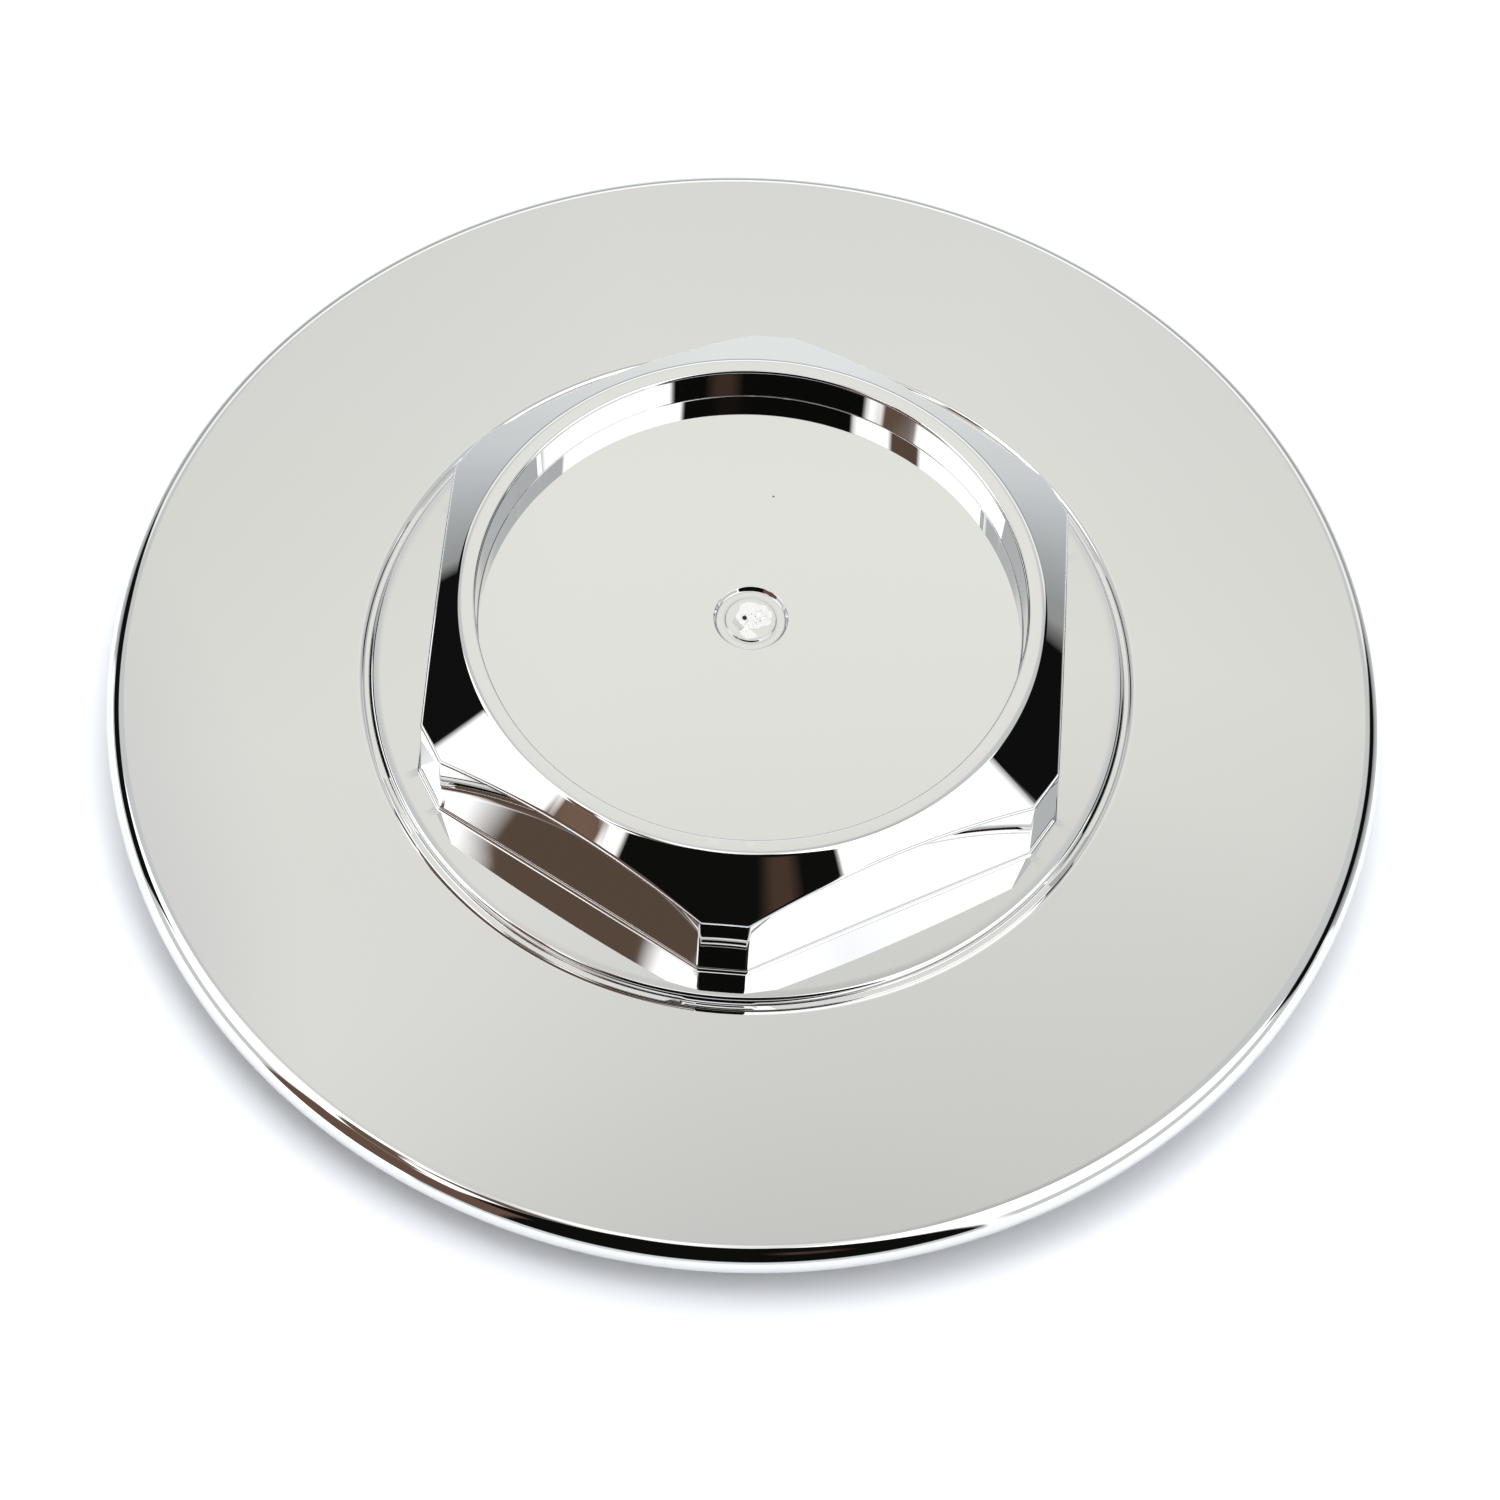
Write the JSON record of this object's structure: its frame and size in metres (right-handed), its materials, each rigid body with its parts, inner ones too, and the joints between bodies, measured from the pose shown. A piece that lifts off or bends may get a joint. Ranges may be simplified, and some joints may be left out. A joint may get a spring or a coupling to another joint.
{
  "type": "wheel center cap",
  "caption": "Chromed wheel center cap with a wide coned flange, a hexagonal nut-style hub with a round emblem recess, and a collar of snap legs on the back.",
  "frame": {"origin": "on the cap's axis, in the plane of the snap legs' tips", "axes": "+Z along the axis, out through the hexagonal hub; +X through the middle of one of the hexagon's flats; a truncated corner faces -Y"},
  "size_m": [0.166, 0.166, 0.027],
  "materials": {
    "chrome_plate": "bright chrome plating on moulded plastic"
  },
  "bodies": {
    "root": {"center_cap": "chrome_plate"}
  },
  "joints": []
}
